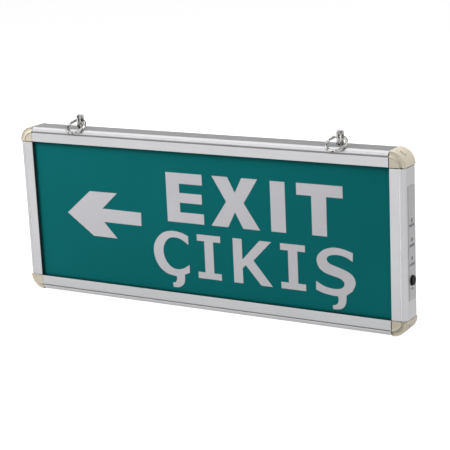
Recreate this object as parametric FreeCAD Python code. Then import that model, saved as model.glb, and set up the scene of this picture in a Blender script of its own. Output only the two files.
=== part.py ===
import FreeCAD, Part
import math
import os

# Hanging emergency exit light: aluminium rails with moulded corners around an
# edge-lit legend panel, with the battery and driver behind the light guide.
# +X runs along the sign, the front faces -Y, +Z is up, and the origin is the
# middle of the bottom face.  Rail sections are drawn in (u, v): u is measured
# outwards from the edge of the opening, v backwards from the front face.

# ---- overall sizes -------------------------------------------------------
OPEN_W = 330.0            # width of the opening
OPEN_H = 118.0            # height of the opening
MARGIN = 12.5             # rail width outside the opening
DEPTH = 22.0              # front to back
SEAM = 0.5                # gap between a rail's end and its corner

# ---- rail section --------------------------------------------------------
FLANGE_T = 1.0            # flange thickness, front and rear
CHANNEL_U = 7.4           # depth of the channel that takes the panels
WEB_T = 1.2               # web between channel and hollow chamber
OUTER_T = 1.2             # outer wall over the chamber
GROOVE_U = 7.6            # where the groove starts
GROOVE_W = 0.8
BEAD_R = 0.9              # half-round bead outside the groove
SHOULDER_R = 3.0          # rounded shoulder outside the bead
DIP_V = 1.05              # bottom of the dip between bead and shoulder
CHAMBER_V = 2.4           # front of the hollow chamber
CHAMBER_R = 1.7           # its rounded outer corners
RIB_U = 3.4               # how near the opening the inner ribs come
RIB_T = 1.0
SLOT_FIT = 0.05           # slack of the sheets between flange and rib

# ---- sheets behind the front flange --------------------------------------
GASKET_T = 2.2
GASKET_INSET = 0.5        # gasket edge behind the flange edge
PANEL_T = 2.0
GUIDE_T = 3.0
REFLECTOR_T = 0.4
SHEET_SIDE_U = 6.9        # side edges of the sheets inside the channel
SHEET_TOP_U = 6.4         # top edge of gasket and panels
GUIDE_TOP_U = 3.0         # top edge of light guide and reflector
REAR_PANEL_T = 1.5

# ---- corner pieces -------------------------------------------------------
DISC_V = 0.4              # front of the quarter disc behind the rails' front
RIDGE_U = 7.1             # thin ridge round the disc
RIDGE_W = 1.4
CHANNEL_MID = (10.3, 1.35)                  # bottom of the round channel (u, v)
CHANNEL_END = (11.9, 0.9)
LIP_R = 0.6               # edge between channel and outer face
TONGUE_L = 14.0           # how far a tongue goes into a rail
TONGUE_FIT = 0.5          # each side of a tongue, in the hollow chamber
TONGUE_LEAD = 0.8         # lead-in chamfer at the tongue's end
MARK_R = 0.65             # ejector marks left by the mould
MARK_DEEP = 0.7
MARKS = ((72.0, 6.4), (43.0, 9.9))          # angle on the corner, v
MARK_SLOT = (56.0, 8.2, 3.6, 1.0)           # angle, v, length, width

# ---- hangers -------------------------------------------------------------
HANGER_END = 44.5         # hanger's middle from the opening's side
EAR_GAP = 1.8
EAR_T = 1.2
EAR_W = 4.5
EAR_H = 11.0              # above the top face
EYE_H = 6.5               # ring hole above the top face
EYE_R = 1.6
FOOT_L = 16.0
FOOT_W = 7.0
FOOT_T = 1.0
FOOT_SLACK = 0.2          # slot in the rail round the ears
HANGER_SCREW_X = 5.8      # screws from the middle of the hanger
HANGER_SCREW_R = 1.0
HANGER_HEAD_R = 1.9
HANGER_HEAD_T = 0.9
DRIVER_HOLE_R = 2.4       # screwdriver hole through the web
RING_R = 8.0              # to the middle of the wire
RING_WIRE_R = 1.1
RING_GAP_DEG = 4.0        # butt gap where the wire's ends meet
RING_GAP_AT = 196.0
RING_REST = 0.05          # between the fallen ring and the shoulder

# ---- side controls -------------------------------------------------------
LABEL_L = 88.0
LABEL_IN = 5.2            # label's long edges in from front and rear face
LABEL_T = 0.3
LABEL_Z = 0.4             # middle of the label from the opening's middle
LAMP_Z = (17.9, 3.25, -11.4)
LAMP_R = 1.5
LAMP_FLANGE_R = 1.9
LAMP_FLANGE_T = 1.0
LAMP_LEG_R = 0.25
LAMP_LEG_PITCH = 2.54
LAMP_BASE_U = 7.7
LAMP_HOLE_FIT = 0.1
BUTTON_Z = -28.5
BUTTON_R = 3.9
BUTTON_FIT = 0.15
BUTTON_PROUD = 1.6        # above the label
BUTTON_TRAVEL = 1.2
BUTTON_ROUND = 0.9
BUTTON_DISH_R = 12.0      # hollow for the finger
BUTTON_DISH_DEEP = 0.35
BUTTON_FLANGE_R = 4.7
BUTTON_FLANGE_T = 1.0
STEM_AIR = 0.9            # between the stem and the sheets
BUTTON_STEM_IN_U = 1.5    # inner end of the stem
BUTTON_NOTCH = 10.4       # notch in the rib where the button goes in
STEM_FIT = 0.05
SWITCH_L = 9.0
SWITCH_FACE_U = 4.6       # face of the switch body
SWITCH_H = 7.0
SWITCH_AIR = 0.2          # between the switch and the reflector

# ---- driver board --------------------------------------------------------
# Places on the board are (in from its right-hand edge, up from the middle).
BOARD_L = 67.0
BOARD_EDGE_U = 6.0        # right-hand edge, inside the right rail's channel
BOARD_Z0 = -42.0
BOARD_Z1 = 44.0
BOARD_T = 1.6
BOSS_R = 3.0
BOSS_H = 1.8
BOARD_SCREW_R = 1.1
BOARD_SCREW_HEAD_R = 2.3
BOARD_SCREW_HEAD_T = 1.3
BOARD_SCREW_DEEP = 2.6
SCREW_FIT = 0.05
BOARD_HOLES = ((62.5, -33.0), (16.5, -33.0), (62.5, 39.5), (11.0, 39.5))
CORE_L = 16.0             # transformer
CORE_W = 13.0
CORE_AIR = 0.9            # between a part on the board and the sheets
CORE_AT = (38.0, 8.0)
COIL_L = 9.0
CAP_AIR = 1.3             # electrolytics, laid flat
CAP_L = 11.0
CAP_AT = ((26.0, -17.0), (26.0, -25.0))
FILM_CAP = (13.0, 6.0)
FILM_CAP_AIR = 1.1
FILM_CAP_AT = (53.0, 26.0)
BLOCK = (10.0, 8.0)       # mains terminal block
BLOCK_AIR = 0.7
BLOCK_AT = (55.0, 8.0)
BLOCK_SCREW_R = 1.4
BLOCK_SCREW_H = 1.5
BLOCK_WELL = 2.0          # screw wells, from the block's front
BLOCK_PITCH = 4.0
DIODE_R = 1.35
DIODE_L = 5.0
DIODE_AT = ((43.0, 27.0), (43.0, 32.0), (31.0, 27.0), (31.0, 32.0))
CHIP = (5.0, 4.0, 1.6)
CHIP_AT = (43.0, -12.0)
CHIP_LEG = 0.9

# ---- battery -------------------------------------------------------------
CELL_FRONT_AIR = 0.2      # between the cells and the sheets
CELL_L = 44.5
CELL_N = 3
CELL_GAP = 0.3
CELL_TIP_R = 1.9
CELL_TIP_H = 0.8
CELL_AIR = 7.5            # between the cells and the board's left edge
CELL_Z0 = -44.0           # underside of the lowest cell
TRAY_T = 0.7
TRAY_WALL = 1.2
TRAY_WALL_H = 6.0
TRAY_SLACK = 0.6
LINK_T = 0.2
LINK_W = 4.0
LEAD_R = 0.5
LEAD_BEND = 1.0           # radius at the middle of the lead

# ---- light strip ---------------------------------------------------------
STRIP_END = 9.0           # strip's end in from the opening's side
STRIP_W = 3.2
STRIP_T = 1.6
LED_N = 24
LED = (2.8, 2.4, 1.4)     # along the strip, front to back, high
LED_AIR = 0.2             # between a light and the edge of the guide
NOTCH_END = 11.0          # notch in the top rail's rib for the strip leads
NOTCH_L = 9.0
STRIP_LEAD_PITCH = 2.4
STRIP_LEAD_DOWN_Z = 41.0

# ---- cable inlet ---------------------------------------------------------
INLET_BACK = 9.0          # inlet's middle from the rear face
INLET_Z = 0.0
INLET_BORE_R = 2.6
INLET_NECK_R = 3.8
INLET_FLANGE_R = 5.0
INLET_LIP_R = 4.7
INLET_FLANGE_T = 1.6
INLET_LIP_T = 1.4
INLET_HOLE_R = 3.2        # hole through the web behind the grommet

# ---- sizes that follow ---------------------------------------------------
HALF_W = OPEN_W / 2
HALF_H = OPEN_H / 2
MID_Z = HALF_H + MARGIN                     # opening's middle above the base
CHAMBER_U = CHANNEL_U + WEB_T
WALL_U = MARGIN - OUTER_T
GASKET_V = FLANGE_T
PANEL_V = GASKET_V + GASKET_T
GUIDE_V = PANEL_V + PANEL_T
REFLECTOR_V = GUIDE_V + GUIDE_T
SHEETS_V = REFLECTOR_V + REFLECTOR_T        # back of the sheets
RIB_V = SHEETS_V + SLOT_FIT
REAR_PANEL_V = DEPTH - FLANGE_T - REAR_PANEL_T
REAR_RIB_V = REAR_PANEL_V - SLOT_FIT - RIB_T
BOARD_V = REAR_PANEL_V - BOSS_H - BOARD_T   # front face of the board
BOARD_ROOM = BOARD_V - SHEETS_V
CORE_H = BOARD_ROOM - CORE_AIR
BLOCK_H = BOARD_ROOM - BLOCK_AIR
FILM_CAP_H = BOARD_ROOM - FILM_CAP_AIR
CAP_R = (BOARD_ROOM - CAP_AIR) / 2
CELL_R = (REAR_PANEL_V - TRAY_T - SHEETS_V - CELL_FRONT_AIR) / 2
CELL_V = REAR_PANEL_V - TRAY_T - CELL_R     # cell axis
MID_V = DEPTH / 2
BUTTON_STEM_R = MID_V - SHEETS_V - STEM_AIR
LABEL_W = DEPTH - 2 * LABEL_IN
INLET_V = DEPTH - INLET_BACK
TONGUE_W = DEPTH - 2 * (CHAMBER_V + CHAMBER_R + TONGUE_FIT)
BOARD_X1 = HALF_W + BOARD_EDGE_U
BOARD_X0 = BOARD_X1 - BOARD_L
CELL_X0 = BOARD_X0 - CELL_AIR - CELL_L      # cells' left-hand ends
STRIP_L = OPEN_W - 2 * STRIP_END
NOTCH_X = HALF_W - NOTCH_END
HANGER_X = HALF_W - HANGER_END
CELL_PITCH = 2 * CELL_R + CELL_GAP
FACE_Z = MID_Z + HALF_H + MARGIN            # top face
WIRE_Z = FACE_Z + EYE_H                     # ring wire in the ears

X = FreeCAD.Vector(1, 0, 0)
Y = FreeCAD.Vector(0, 1, 0)
Z = FreeCAD.Vector(0, 0, 1)


def vec(x, y, z):
    return FreeCAD.Vector(x, y, z)


def back(v):
    """Y of a depth v behind the front face."""
    return v - MID_V


def block(x0, x1, v0, v1, z0, z1):
    """Box between depths v0 and v1, heights from the opening's middle."""
    return Part.makeBox(x1 - x0, v1 - v0, z1 - z0,
                        vec(x0, back(v0), MID_Z + z0))


def rod(radius, length, x, v, z, axis):
    """Cylinder from a point at depth v, height z from the middle."""
    return Part.makeCylinder(radius, length, vec(x, back(v), MID_Z + z), axis)


def board_point(at):
    """X, and Z from the opening's middle, of a place on the board."""
    return BOARD_X1 - at[0], at[1]


def board_holes():
    return [board_point(at) for at in BOARD_HOLES]


def outline(steps):
    """Face in the YZ plane from (u, v) points; a pair of points is an arc."""
    def at(p):
        return vec(0, back(p[1]), p[0])
    edges = []
    here = steps[-1][-1]
    for step in steps:
        if len(step) == 2:
            edges.append(Part.Arc(at(here), at(step[0]), at(step[1])).toShape())
        else:
            edges.append(Part.makeLine(at(here), at(step[0])))
        here = step[-1]
    return Part.Face(Part.Wire(edges))


def shoulder_point(degrees):
    """Point on the front shoulder's arc; 0 degrees is the outer face."""
    a = math.radians(degrees)
    return (MARGIN - SHOULDER_R * (1 - math.cos(a)),
            SHOULDER_V - SHOULDER_R * math.sin(a))


SHOULDER_DEG = 72.0
SHOULDER_V = DIP_V + SHOULDER_R * math.sin(math.radians(SHOULDER_DEG))


def front_line():
    """Flange, groove, bead and shoulder, from the flange to the outer face."""
    bead = GROOVE_U + GROOVE_W + BEAD_R
    return [((GROOVE_U, 0.0),),
            ((GROOVE_U, BEAD_R),),
            ((bead - BEAD_R, BEAD_R),),
            ((bead, 0.0), (bead + BEAD_R, BEAD_R)),
            (shoulder_point(SHOULDER_DEG),),
            (shoulder_point(SHOULDER_DEG / 2), (MARGIN, SHOULDER_V))]


def flipped(line):
    """The same line run backwards on the rear half of the section."""
    points = [p for step in line for p in step]
    turned = [(u, DEPTH - v) for u, v in reversed(points)]
    steps = []
    i = 1
    for step in reversed(line):
        steps.append(tuple(turned[i:i + len(step)]))
        i += len(step)
    return [(turned[0],)] + [s for s in steps if s]


def inner_line():
    """Channel side of the section, from the rear flange to the front one."""
    return [((CHANNEL_U, DEPTH - FLANGE_T),),
            ((CHANNEL_U, REAR_RIB_V + RIB_T),), ((RIB_U, REAR_RIB_V + RIB_T),),
            ((RIB_U, REAR_RIB_V),), ((CHANNEL_U, REAR_RIB_V),),
            ((CHANNEL_U, RIB_V + RIB_T),), ((RIB_U, RIB_V + RIB_T),),
            ((RIB_U, RIB_V),), ((CHANNEL_U, RIB_V),),
            ((CHANNEL_U, FLANGE_T),)]


def rail_section():
    """Extruded section: half-round flange edges and one hollow chamber."""
    lip = FLANGE_T / 2
    body = outline(front_line() + flipped(front_line())
                   + [((lip, DEPTH),), ((0.0, DEPTH - lip), (lip, DEPTH - FLANGE_T))]
                   + inner_line()
                   + [((lip, FLANGE_T),), ((0.0, lip), (lip, 0.0))])
    edge = WALL_U - CHAMBER_R
    bend = CHAMBER_R * math.sqrt(0.5)
    far = DEPTH - CHAMBER_V
    chamber = outline([((edge, CHAMBER_V),),
                       ((edge + bend, CHAMBER_V + CHAMBER_R - bend),
                        (WALL_U, CHAMBER_V + CHAMBER_R)),
                       ((WALL_U, far - CHAMBER_R),),
                       ((edge + bend, far - CHAMBER_R + bend), (edge, far)),
                       ((CHAMBER_U, far),), ((CHAMBER_U, CHAMBER_V),)])
    return body.cut(chamber)


def placed(shape, quarter_turns, x, z):
    """Turn a shape clockwise about Y, then move it from the middle."""
    out = shape.copy()
    out.rotate(vec(0, 0, 0), Y, 90 * quarter_turns)
    out.translate(vec(x, 0, MID_Z + z))
    return out


def rail(length, quarter_turns, offset):
    """A rail cut square, its section standing outwards from the opening."""
    run = length - 2 * SEAM
    bar = rail_section().extrude(vec(run, 0, 0))
    bar.translate(vec(-run / 2, 0, offset))
    return placed(bar, quarter_turns, 0, 0)


def hanger_places():
    return (-HANGER_X, HANGER_X)


def top_rail():
    bar = rail(OPEN_W, 0, HALF_H)
    half_x = EAR_GAP / 2 + EAR_T + FOOT_SLACK
    half_y = EAR_W / 2 + FOOT_SLACK
    cuts = [block(NOTCH_X - NOTCH_L / 2, NOTCH_X + NOTCH_L / 2,
                  RIB_V, RIB_V + RIB_T, HALF_H + RIB_U, HALF_H + CHANNEL_U)]
    for x in hanger_places():
        cuts.append(block(x - half_x, x + half_x, MID_V - half_y,
                          MID_V + half_y, HALF_H + WALL_U, HALF_H + MARGIN))
        for side in (-1, 1):
            sx = x + side * HANGER_SCREW_X
            cuts.append(rod(DRIVER_HOLE_R, WEB_T, sx, MID_V,
                            HALF_H + CHANNEL_U, Z))
            cuts.append(rod(HANGER_SCREW_R, OUTER_T - 0.2, sx, MID_V,
                            HALF_H + WALL_U, Z))
    return bar.cut(Part.makeCompound(cuts))


def bottom_rail():
    return rail(OPEN_W, 2, HALF_H)


def left_rail():
    bar = rail(OPEN_H, 3, HALF_W)
    wall = rod(INLET_NECK_R, OUTER_T, -HALF_W - MARGIN, INLET_V, INLET_Z, X)
    web = rod(INLET_HOLE_R, WEB_T, -HALF_W - CHAMBER_U, INLET_V, INLET_Z, X)
    return bar.cut(wall).cut(web)


def right_rail():
    bar = rail(OPEN_H, 1, HALF_W)
    half = BUTTON_NOTCH / 2
    cuts = [block(HALF_W + RIB_U, HALF_W + CHANNEL_U, RIB_V, RIB_V + RIB_T,
                  BUTTON_Z - half, BUTTON_Z + half),
            rod(BUTTON_R + BUTTON_FIT, OUTER_T, HALF_W + WALL_U, MID_V,
                BUTTON_Z, X),
            rod(BUTTON_FLANGE_R + BUTTON_FIT, WEB_T, HALF_W + CHANNEL_U,
                MID_V, BUTTON_Z, X)]
    for z in LAMP_Z:
        cuts.append(rod(LAMP_R + LAMP_HOLE_FIT, OUTER_T, HALF_W + WALL_U,
                        MID_V, z, X))
        cuts.append(rod(LAMP_FLANGE_R + LAMP_HOLE_FIT, WEB_T,
                        HALF_W + CHANNEL_U, MID_V, z, X))
    return bar.cut(Part.makeCompound(cuts))


def corner_line():
    """Disc, thin ridge, round channel and lip, out to the outer face."""
    ridge = RIDGE_U + RIDGE_W
    end_u, end_v = CHANNEL_END
    bend = LIP_R * math.sqrt(0.5)
    return [((RIDGE_U, DISC_V),),
            ((RIDGE_U + RIDGE_W / 2, 0.0), (ridge, DISC_V)),
            (CHANNEL_MID, (end_u, end_v)),
            ((MARGIN - LIP_R + bend, end_v + LIP_R - bend),
             (MARGIN, end_v + LIP_R))]


def corner_section():
    """The corner's own front and rear round the rail's channel side."""
    return outline(corner_line() + flipped(corner_line())
                   + [((0.0, DEPTH - DISC_V),), ((0.0, DEPTH - FLANGE_T),)]
                   + inner_line()
                   + [((0.0, FLANGE_T),), ((0.0, DISC_V),)])


def tongue():
    """Tongue for the rail that runs in -X from a top right corner."""
    half = TONGUE_W / 2
    far = -TONGUE_L
    flat = Part.makePolygon([vec(0, -half, CHAMBER_U),
                             vec(0, half, CHAMBER_U),
                             vec(far + TONGUE_LEAD, half, CHAMBER_U),
                             vec(far, half - TONGUE_LEAD, CHAMBER_U),
                             vec(far, -half + TONGUE_LEAD, CHAMBER_U),
                             vec(far + TONGUE_LEAD, -half, CHAMBER_U),
                             vec(0, -half, CHAMBER_U)])
    bar = Part.Face(flat).extrude(vec(0, 0, WALL_U - CHAMBER_U))
    thin = Part.makeBox(TONGUE_LEAD, TONGUE_W, TONGUE_LEAD / 2,
                        vec(far, -half, WALL_U - TONGUE_LEAD / 2))
    return bar.cut(thin)


def corner_marks():
    """Two ejector dimples and a slot on the outer face."""
    reach = MARGIN - MARK_DEEP
    tools = []
    for angle, v in MARKS:
        tools.append((Part.makeCylinder(MARK_R, 3, vec(reach, back(v), 0), X),
                      angle))
    angle, v, length, width = MARK_SLOT
    tools.append((Part.makeBox(3, width, length,
                               vec(reach, back(v) - width / 2, -length / 2)),
                  angle))
    for tool, angle in tools:
        tool.rotate(vec(0, 0, 0), Y, -angle)
    return Part.makeCompound([tool for tool, angle in tools])


def corner(quarter_turns, x, z):
    """Quarter turn of the section with a tongue for each rail."""
    rim = corner_section().revolve(vec(0, 0, 0), Y, 90)
    second = tongue().mirror(vec(0, 0, 0), vec(1, 0, -1))
    whole = rim.fuse([tongue(), second]).removeSplitter()
    return placed(whole.cut(corner_marks()), quarter_turns, x, z)


def corner_top_right():
    return corner(0, HALF_W, HALF_H)


def corner_bottom_right():
    return corner(1, HALF_W, -HALF_H)


def corner_bottom_left():
    return corner(2, -HALF_W, -HALF_H)


def corner_top_left():
    return corner(3, -HALF_W, HALF_H)


def sheet(v, thick, top_u):
    """Sheet standing in the bottom channel, corners rounded to clear."""
    x = HALF_W + SHEET_SIDE_U
    top = HALF_H + top_u
    plate = block(-x, x, v, v + thick, -HALF_H - CHANNEL_U, top)
    low, high = [], []
    for edge in plate.Edges:
        if edge.BoundBox.YLength > thick / 2:
            if edge.BoundBox.ZMin < MID_Z:
                low.append(edge)
            else:
                high.append(edge)
    plate = plate.makeFillet(SHEET_SIDE_U, low)
    high = [e for e in plate.Edges
            if e.BoundBox.YLength > thick / 2 and e.BoundBox.XLength < 0.01
            and abs(e.BoundBox.ZMax - MID_Z - top) < 0.01]
    return plate.makeFillet(top_u, high)


def front_gasket():
    ring = sheet(GASKET_V, GASKET_T, SHEET_TOP_U)
    x = HALF_W + GASKET_INSET
    z = HALF_H + GASKET_INSET
    return ring.cut(block(-x, x, GASKET_V, PANEL_V, -z, z))


def front_panel():
    return sheet(PANEL_V, PANEL_T, SHEET_TOP_U)


def light_guide():
    return sheet(GUIDE_V, GUIDE_T, GUIDE_TOP_U)


def reflector_sheet():
    return sheet(REFLECTOR_V, REFLECTOR_T, GUIDE_TOP_U)


def rear_panel():
    """Plain back plate with a boss and pilot hole for each board screw."""
    plate = sheet(REAR_PANEL_V, REAR_PANEL_T, SHEET_TOP_U)
    bosses = [rod(BOSS_R, BOSS_H, x, REAR_PANEL_V - BOSS_H, z, Y)
              for x, z in board_holes()]
    pilots = [rod(BOARD_SCREW_R + SCREW_FIT, BOARD_SCREW_DEEP + SCREW_FIT, x,
                  REAR_PANEL_V - BOSS_H, z, Y) for x, z in board_holes()]
    return plate.fuse(bosses).cut(Part.makeCompound(pilots)).removeSplitter()


def led_z():
    """Underside of the lights, measured from the opening's middle."""
    return HALF_H + GUIDE_TOP_U + LED_AIR


def strip_v():
    return (GUIDE_V + SHEETS_V - STRIP_W) / 2


def led_strip():
    z = led_z() + LED[2]
    return block(-STRIP_L / 2, STRIP_L / 2, strip_v(), strip_v() + STRIP_W,
                 z, z + STRIP_T)


def strip_tape():
    z = led_z() + LED[2] + STRIP_T
    return block(-STRIP_L / 2, STRIP_L / 2, strip_v(), strip_v() + STRIP_W,
                 z, HALF_H + CHANNEL_U)


def strip_leds():
    """Side row of identical lights, every one a separate solid."""
    pitch = STRIP_L / LED_N
    v = strip_v() + (STRIP_W - LED[1]) / 2
    lights = []
    for i in range(LED_N):
        x = -STRIP_L / 2 + (i + 0.5) * pitch
        light = block(x - LED[0] / 2, x + LED[0] / 2, v, v + LED[1],
                      led_z(), led_z() + LED[2])
        lower = [e for e in light.Edges
                 if e.BoundBox.ZMax < MID_Z + led_z() + 0.01]
        lights.append(light.makeChamfer(0.3, lower))
    return Part.makeCompound(lights)


def wire(points):
    """Round lead through the points, with rounded bends."""
    bend = LEAD_BEND
    path = []
    here = points[0]
    for before, knee, after in zip(points, points[1:], points[2:]):
        into = (knee - before).normalize()
        out = (after - knee).normalize()
        start = knee - into * bend
        end = knee + out * bend
        mid = knee + (out - into) * bend * (1 - math.sqrt(0.5))
        path.append(Part.makeLine(here, start))
        path.append(Part.Arc(start, mid, end).toShape())
        here = end
    path.append(Part.makeLine(here, points[-1]))
    disc = Part.Wire(Part.makeCircle(LEAD_R, points[0], points[1] - points[0]))
    return Part.Wire(path).makePipeShell([disc], True, False)


def strip_leads():
    """Two leads from the strip, through the rib's notch, to the board."""
    v = (BOARD_V + RIB_V + RIB_T) / 2
    top = led_z() + LED[2] + STRIP_T / 2
    leads = []
    for side in (-1, 1):
        x = NOTCH_X + side * STRIP_LEAD_PITCH / 2
        leads.append(wire([vec(x, back(a), MID_Z + b) for a, b in
                           ((strip_v() + STRIP_W, top), (v, top),
                            (v, STRIP_LEAD_DOWN_Z),
                            (BOARD_V, STRIP_LEAD_DOWN_Z))]))
    return Part.makeCompound(leads)


def driver_board():
    board = block(BOARD_X0, BOARD_X1, BOARD_V, BOARD_V + BOARD_T,
                  BOARD_Z0, BOARD_Z1)
    holes = [rod(BOARD_SCREW_R + SCREW_FIT, BOARD_T, x, BOARD_V, z, Y)
             for x, z in board_holes()]
    return board.cut(Part.makeCompound(holes))


def board_screws():
    screws = []
    for x, z in board_holes():
        head = rod(BOARD_SCREW_HEAD_R, BOARD_SCREW_HEAD_T, x,
                   BOARD_V - BOARD_SCREW_HEAD_T, z, Y)
        rim = [e for e in head.Edges if e.BoundBox.YMax
               < back(BOARD_V - BOARD_SCREW_HEAD_T) + 0.01]
        head = head.makeFillet(0.5, rim)
        slot = block(x - 0.3, x + 0.3, BOARD_V - BOARD_SCREW_HEAD_T,
                     BOARD_V - 0.8, z - 1.5, z + 1.5)
        cross = block(x - 1.5, x + 1.5, BOARD_V - BOARD_SCREW_HEAD_T,
                      BOARD_V - 0.8, z - 0.3, z + 0.3)
        shank = rod(BOARD_SCREW_R, BOARD_T + BOARD_SCREW_DEEP, x,
                    BOARD_V, z, Y)
        screws.append(head.cut([slot, cross]).fuse(shank).removeSplitter())
    return Part.makeCompound(screws)


def on_board(size, at):
    """Box of (along X, along Z, high) standing on the board's front."""
    x, z = board_point(at)
    return block(x - size[0] / 2, x + size[0] / 2, BOARD_V - size[2], BOARD_V,
                 z - size[1] / 2, z + size[1] / 2)


def core_windows(cover):
    """The core's two windows, short of its front by the cover."""
    x, z = board_point(CORE_AT)
    half_x = COIL_L / 4 - 0.4
    half_z = CORE_W / 2 - 2
    mids = [x + side * (COIL_L / 4 + 1.2) for side in (-1, 1)]
    return [block(mid - half_x, mid + half_x, BOARD_V - CORE_H + cover,
                  BOARD_V, z - half_z, z + half_z) for mid in mids]


def transformer_core():
    """Ferrite core with a square window either side of the middle leg."""
    return on_board((CORE_L, CORE_W, CORE_H), CORE_AT).cut(core_windows(0))


def transformer_coil():
    """Winding filling the core's two windows."""
    return Part.makeCompound(core_windows(0.3))


def film_capacitor():
    box = on_board((*FILM_CAP, FILM_CAP_H), FILM_CAP_AT)
    uprights = [e for e in box.Edges if e.BoundBox.YLength > 1]
    return box.makeFillet(0.6, uprights)


def electrolytic_capacitors():
    """Two cans lying flat on the board, crimped near one end."""
    cans = []
    for x, z in map(board_point, CAP_AT):
        can = rod(CAP_R, CAP_L, x - CAP_L / 2, BOARD_V - CAP_R, z, X)
        crimp = rod(CAP_R + 1, 0.6, x + CAP_L / 2 - 2, BOARD_V - CAP_R, z, X)
        core = rod(CAP_R - 0.25, 0.6, x + CAP_L / 2 - 2, BOARD_V - CAP_R, z, X)
        cans.append(can.cut(crimp.cut(core)))
    return Part.makeCompound(cans)


def rectifier_diodes():
    """Four axial diodes lying on the board."""
    bodies = [rod(DIODE_R, DIODE_L, x - DIODE_L / 2, BOARD_V - DIODE_R, z, X)
              for x, z in map(board_point, DIODE_AT)]
    return Part.makeCompound(bodies)


def control_chip():
    chip = on_board(CHIP, CHIP_AT)
    legs = [on_board((0.4, CHIP[1] + 2 * CHIP_LEG, 0.3),
                     (CHIP_AT[0] + (i - 1.5) * 1.27, CHIP_AT[1]))
            for i in range(4)]
    return chip.fuse(legs)


def terminal_ways():
    """Middle of each way of the terminal block."""
    x, z = board_point(BLOCK_AT)
    return [(x, z + (i - 0.5) * BLOCK_PITCH) for i in range(2)]


def terminal_block():
    """Two-way block, wire ways to the left and screws to the front."""
    body = on_board((*BLOCK, BLOCK_H), BLOCK_AT)
    for x, z in terminal_ways():
        way = rod(1.2, BLOCK[0] - 2, x - BLOCK[0] / 2, BOARD_V - 2.6, z, X)
        well = rod(BLOCK_SCREW_R + SCREW_FIT, BLOCK_WELL, x,
                   BOARD_V - BLOCK_H, z, Y)
        body = body.cut([way, well])
    return body


def terminal_screws():
    screws = []
    for x, z in terminal_ways():
        top = BOARD_V - BLOCK_H + BLOCK_WELL - BLOCK_SCREW_H
        screw = rod(BLOCK_SCREW_R, BLOCK_SCREW_H, x, top, z, Y)
        slot = block(x - 2, x + 2, top, top + BLOCK_SCREW_H / 3,
                     z - 0.3, z + 0.3)
        screws.append(screw.cut(slot))
    return Part.makeCompound(screws)


def cell_z(i):
    return CELL_Z0 + CELL_R + i * CELL_PITCH


def battery_cells():
    """Three cells side by side, every other one turned end for end."""
    cells = []
    for i in range(CELL_N):
        can = rod(CELL_R, CELL_L - CELL_TIP_H, CELL_X0 + (i % 2) * CELL_TIP_H,
                  CELL_V, cell_z(i), X)
        can = can.makeFillet(0.6, [e for e in can.Edges
                                   if e.BoundBox.XLength < 0.01])
        tip_x = CELL_X0 + (0 if i % 2 else CELL_L - CELL_TIP_H)
        tip = rod(CELL_TIP_R, CELL_TIP_H, tip_x, CELL_V, cell_z(i), X)
        cells.append(can.fuse(tip).removeSplitter())
    return Part.makeCompound(cells)


def cell_links():
    """Nickel tabs that put the cells in series, and the two end tabs."""
    left = CELL_X0 - LINK_T
    right = CELL_X0 + CELL_L
    spans = ((left, 0, 1), (right, 1, 2), (right, 0, 0), (left, 2, 2))
    return Part.makeCompound(
        [block(x, x + LINK_T, CELL_V - LINK_W / 2, CELL_V + LINK_W / 2,
               cell_z(a) - LINK_W / 2, cell_z(b) + LINK_W / 2)
         for x, a, b in spans])


def battery_tray():
    """Open tray on the rear panel with a notch at each end for the leads."""
    x0 = CELL_X0 - TRAY_SLACK
    x1 = CELL_X0 + CELL_L + TRAY_SLACK
    z0 = cell_z(0) - CELL_R
    z1 = cell_z(CELL_N - 1) + CELL_R + TRAY_SLACK
    front = REAR_PANEL_V - TRAY_T - TRAY_WALL_H
    tray = block(x0 - TRAY_WALL, x1 + TRAY_WALL, front, REAR_PANEL_V,
                 z0 - TRAY_WALL, z1 + TRAY_WALL)
    tray = tray.cut(block(x0, x1, front, REAR_PANEL_V - TRAY_T, z0, z1))
    return tray.cut(block(x0 - TRAY_WALL, x1 + TRAY_WALL, front,
                          REAR_PANEL_V - TRAY_T, z0 + 2, z1 - 2))


def battery_leads():
    """Leads from the pack's two ends to the board."""
    right = CELL_X0 + CELL_L + LINK_T
    low = cell_z(0)
    high = cell_z(CELL_N - 1) + CELL_R + TRAY_SLACK + TRAY_WALL + 2
    land = BOARD_X0 + 3
    first = wire([vec(a, back(b), MID_Z + low) for a, b in
                  ((right, CELL_V), (land, CELL_V), (land, BOARD_V))])
    over = [(CELL_X0 - LINK_T, CELL_V, cell_z(CELL_N - 1)),
            (CELL_X0 - TRAY_SLACK - TRAY_WALL - 2, CELL_V,
             cell_z(CELL_N - 1)),
            (CELL_X0 - TRAY_SLACK - TRAY_WALL - 2, CELL_V, high),
            (land, CELL_V, high), (land, BOARD_V, high)]
    second = wire([vec(a, back(b), MID_Z + c) for a, b, c in over])
    return Part.makeCompound([first, second])


def indicator_leds():
    """Three round lamps through the side, their legs bent to the board."""
    lamps = []
    base = HALF_W + LAMP_BASE_U
    tip = HALF_W + MARGIN + LABEL_T
    for z in LAMP_Z:
        body = rod(LAMP_R, tip - LAMP_R - base, base, MID_V, z, X)
        dome = Part.makeSphere(LAMP_R, vec(tip - LAMP_R, 0, MID_Z + z))
        rim = rod(LAMP_FLANGE_R, LAMP_FLANGE_T, base, MID_V, z, X)
        legs = []
        for side in (-1, 1):
            lz = z + side * LAMP_LEG_PITCH / 2
            lx = BOARD_X1 - 1.5
            legs.append(rod(LAMP_LEG_R, base - lx, lx, MID_V, lz, X))
            legs.append(rod(LAMP_LEG_R, BOARD_V - MID_V, lx, MID_V, lz, Y))
            legs.append(Part.makeSphere(LAMP_LEG_R, vec(lx, 0, MID_Z + lz)))
        lamps.append(body.fuse([dome, rim] + legs).removeSplitter())
    return Part.makeCompound(lamps)


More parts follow.
